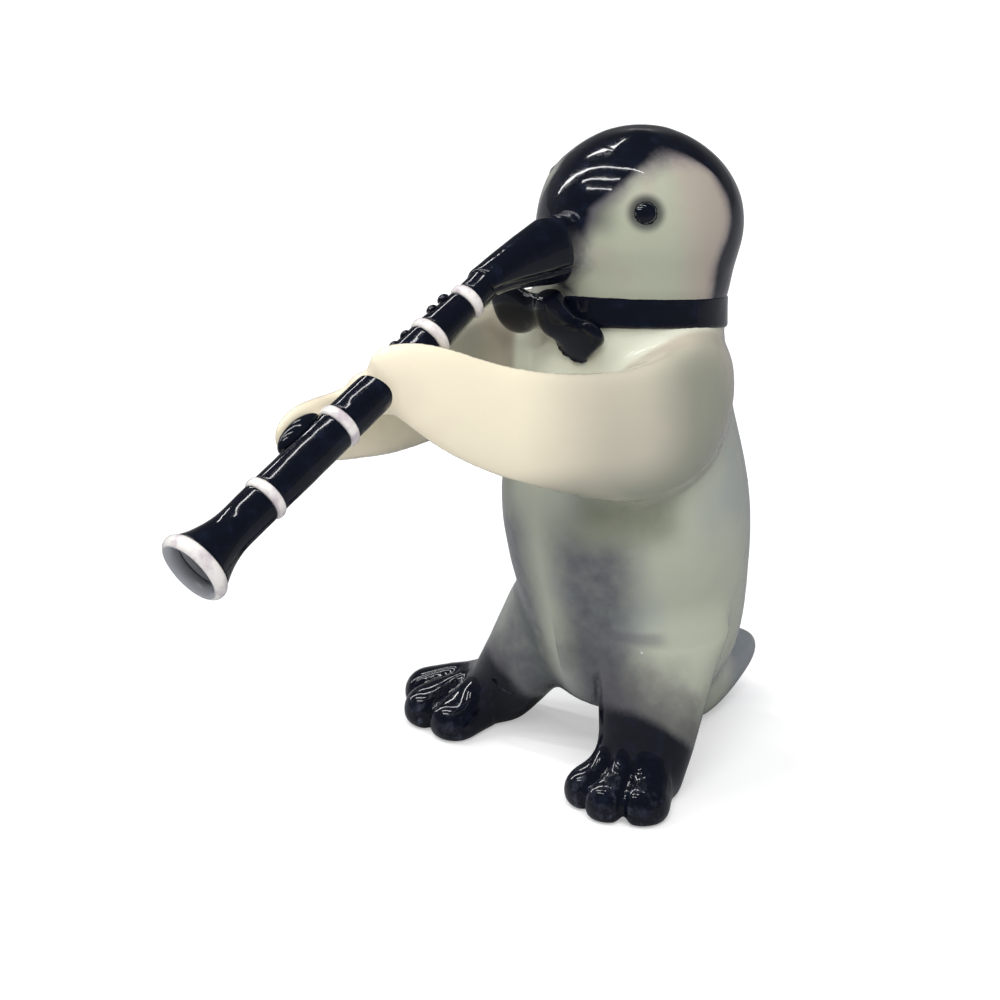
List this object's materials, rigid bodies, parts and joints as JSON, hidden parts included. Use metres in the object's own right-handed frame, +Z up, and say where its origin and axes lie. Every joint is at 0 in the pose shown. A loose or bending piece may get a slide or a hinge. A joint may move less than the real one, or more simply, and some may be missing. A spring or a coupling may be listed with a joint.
{
  "type": "penguin figurine",
  "caption": "Standing glazed porcelain penguin in a bow tie, holding a clarinet to its bill with both flippers.",
  "frame": {"origin": "on the standing surface, at the middle of the bounding box of the footprint", "axes": "+Z up, the bird faces -Y along the clarinet's run, +X is the bird's own left side"},
  "size_m": [0.0306, 0.0604, 0.0508],
  "materials": {
    "grey_glaze": "glossy clear glaze over pale grey-green airbrushing",
    "head_glaze": "glossy clear glaze over a black cap and pale grey cheeks with a soft edge",
    "cream_glaze": "glossy clear glaze over warm off-white",
    "slate_glaze": "glossy clear glaze over slate grey",
    "black_glaze": "glossy blue-black glaze",
    "white_glaze": "glossy white glaze"
  },
  "bodies": {
    "root": {"body": "grey_glaze", "left_leg": "grey_glaze", "right_leg": "grey_glaze", "head": "head_glaze", "left_flipper": "cream_glaze", "right_flipper": "cream_glaze", "tail": "slate_glaze", "upper_bill": "black_glaze", "lower_bill": "black_glaze", "left_eye": "black_glaze", "right_eye": "black_glaze", "left_foot": "black_glaze", "right_foot": "black_glaze", "collar_band": "black_glaze", "bow_knot": "black_glaze", "bow_left_loop": "black_glaze", "bow_right_loop": "black_glaze", "mouthpiece": "black_glaze", "barrel": "black_glaze", "upper_joint": "black_glaze", "lower_joint": "black_glaze", "bell": "black_glaze", "key_guard": "black_glaze", "barrel_keys": "black_glaze", "joint_keys": "black_glaze", "bell_rim": "white_glaze", "ring_1": "white_glaze", "ring_2": "white_glaze", "ring_3": "white_glaze", "ring_4": "white_glaze"}
  },
  "joints": []
}
